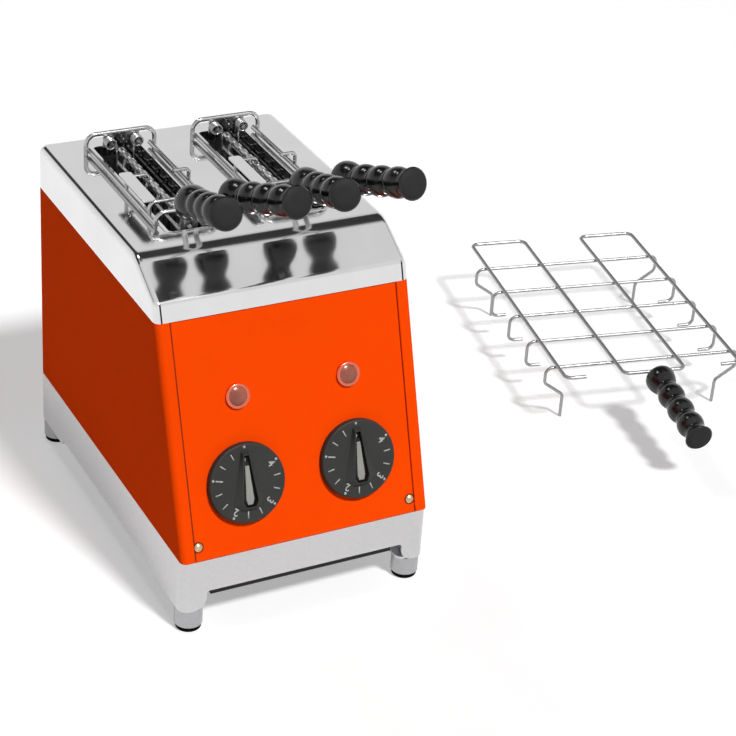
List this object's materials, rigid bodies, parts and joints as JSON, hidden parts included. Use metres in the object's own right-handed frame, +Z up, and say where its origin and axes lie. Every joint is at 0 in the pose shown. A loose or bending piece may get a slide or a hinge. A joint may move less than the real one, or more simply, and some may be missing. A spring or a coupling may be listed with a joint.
{
  "type": "clamp toaster",
  "caption": "Commercial two-slot toaster: orange body with sloping front, polished cover, hinged wire toast clamps with beaded handles, knobs, crumb tray and a separate wire warming rack.",
  "frame": {"origin": "on the table under the middle of the toaster's base", "axes": "+Z up, the sloping front with the knobs faces -Y, +X to the right of someone facing the front, where the rack stands"},
  "size_m": [0.6209, 0.3924, 0.3422],
  "materials": {
    "cover_chrome": "polished sheet",
    "shell_paint": "gloss orange enamel",
    "satin_steel": "satin",
    "rubber_feet": "matt black",
    "brassy_screws": "plated",
    "galvanised_steel": "plain",
    "tray_enamel": "black enamel",
    "bright_reflector": "bright",
    "chrome_wire": "bright plated wire",
    "quartz_glass": "frosted",
    "heater_wire": "oxidised",
    "white_ceramic": "matt",
    "black_moulding": "moulded",
    "knob_moulding": "fine texture",
    "pointer_grey": "smooth",
    "shaft_steel": "drawn",
    "bezel_chrome": "polished",
    "lamp_amber": "clear tinted",
    "handle_black": "glossy moulding"
  },
  "bodies": {
    "base": {"back_panel": "shell_paint", "back_screws": "satin_steel", "bottom_pan": "galvanised_steel", "cable_gland": "black_moulding", "chamber_back_plate": "galvanised_steel", "chamber_front_plate": "galvanised_steel", "foot_pads": "rubber_feet", "foot_plates": "satin_steel", "foot_screws": "satin_steel", "foot_sleeves": "satin_steel", "front_panel": "shell_paint", "gland_nut": "galvanised_steel", "heater_caps": "white_ceramic", "heater_coils": "heater_wire", "heater_tubes": "quartz_glass", "lamp_bezels": "bezel_chrome", "lamp_bodies": "black_moulding", "lamp_lenses": "lamp_amber", "left_side_shell": "shell_paint", "left_slot_guards": "chrome_wire", "panel_brackets": "galvanised_steel", "panel_screws": "brassy_screws", "plinth": "satin_steel", "reflectors": "bright_reflector", "right_side_shell": "shell_paint", "right_slot_guards": "chrome_wire", "slot_rims": "cover_chrome", "terminal_block": "white_ceramic", "timer_housings": "black_moulding", "timer_nuts": "galvanised_steel", "top_cover": "cover_chrome", "tray_runners": "galvanised_steel"},
    "left_timer": {"left_timer_knob": "knob_moulding", "left_timer_pointer": "pointer_grey", "left_timer_shaft": "shaft_steel"},
    "right_timer": {"right_timer_knob": "knob_moulding", "right_timer_pointer": "pointer_grey", "right_timer_shaft": "shaft_steel"},
    "tray": {"crumb_tray": "tray_enamel"},
    "rack": {"rack_wires": "chrome_wire", "rack_handle": "handle_black"},
    "left_clamp": {"left_clamp_frame": "chrome_wire", "left_clamp_hinge_rod": "shaft_steel", "left_clamp_stop_button": "handle_black", "left_clamp_springs": "shaft_steel", "left_clamp_thumb_plate": "cover_chrome"},
    "left_clamp_left_jaw": {"left_clamp_left_jaw": "chrome_wire", "left_clamp_right_handle": "handle_black"},
    "left_clamp_right_jaw": {"left_clamp_right_jaw": "chrome_wire", "left_clamp_left_handle": "handle_black"},
    "right_clamp": {"right_clamp_frame": "chrome_wire", "right_clamp_hinge_rod": "shaft_steel", "right_clamp_stop_button": "handle_black", "right_clamp_springs": "shaft_steel", "right_clamp_thumb_plate": "cover_chrome"},
    "right_clamp_left_jaw": {"right_clamp_left_jaw": "chrome_wire", "right_clamp_right_handle": "handle_black"},
    "right_clamp_right_jaw": {"right_clamp_right_jaw": "chrome_wire", "right_clamp_left_handle": "handle_black"}
  },
  "joints": [
    {"name": "left_timer_turn", "type": "hinge", "parent": "base", "child": "left_timer", "pos_m": [-0.0447, -0.13249, 0.10992], "axis": [0, 0.9471, -0.321], "range_deg": [0, 300]},
    {"name": "right_timer_turn", "type": "hinge", "parent": "base", "child": "right_timer", "pos_m": [0.0447, -0.13249, 0.10992], "axis": [0, 0.9471, -0.321], "range_deg": [0, 300]},
    {"name": "tray_slide", "type": "slide", "parent": "base", "child": "tray", "axis": [0, -1, 0], "range_m": [0, 0.18]},
    {"name": "left_clamp_lift", "type": "slide", "parent": "base", "child": "left_clamp", "axis": [0, 0, 1], "range_m": [0, 0.13]},
    {"name": "left_clamp_left_jaw_open", "type": "hinge", "parent": "left_clamp", "child": "left_clamp_left_jaw", "pos_m": [-0.044, 0, 0.2642], "axis": [0, 1, 0], "range_deg": [0, 4], "stiffness_Nm_per_rad": 1, "springref_deg": -8.59},
    {"name": "left_clamp_right_jaw_open", "type": "hinge", "parent": "left_clamp", "child": "left_clamp_right_jaw", "pos_m": [-0.044, 0, 0.2642], "axis": [0, -1, 0], "range_deg": [0, 4], "stiffness_Nm_per_rad": 1, "springref_deg": -8.59},
    {"name": "right_clamp_lift", "type": "slide", "parent": "base", "child": "right_clamp", "axis": [0, 0, 1], "range_m": [0, 0.13]},
    {"name": "right_clamp_left_jaw_open", "type": "hinge", "parent": "right_clamp", "child": "right_clamp_left_jaw", "pos_m": [0.044, 0, 0.2642], "axis": [0, 1, 0], "range_deg": [0, 4], "stiffness_Nm_per_rad": 1, "springref_deg": -8.59},
    {"name": "right_clamp_right_jaw_open", "type": "hinge", "parent": "right_clamp", "child": "right_clamp_right_jaw", "pos_m": [0.044, 0, 0.2642], "axis": [0, -1, 0], "range_deg": [0, 4], "stiffness_Nm_per_rad": 1, "springref_deg": -8.59},
    {"name": "rack_lift", "type": "slide", "parent": "base", "child": "rack", "axis": [0, 0, 1], "range_m": [0, 0.1]}
  ],
  "couplings": [
    {"joint": "left_clamp_right_jaw_open", "follows": "left_clamp_left_jaw_open", "ratio": 1},
    {"joint": "right_clamp_right_jaw_open", "follows": "right_clamp_left_jaw_open", "ratio": 1}
  ]
}
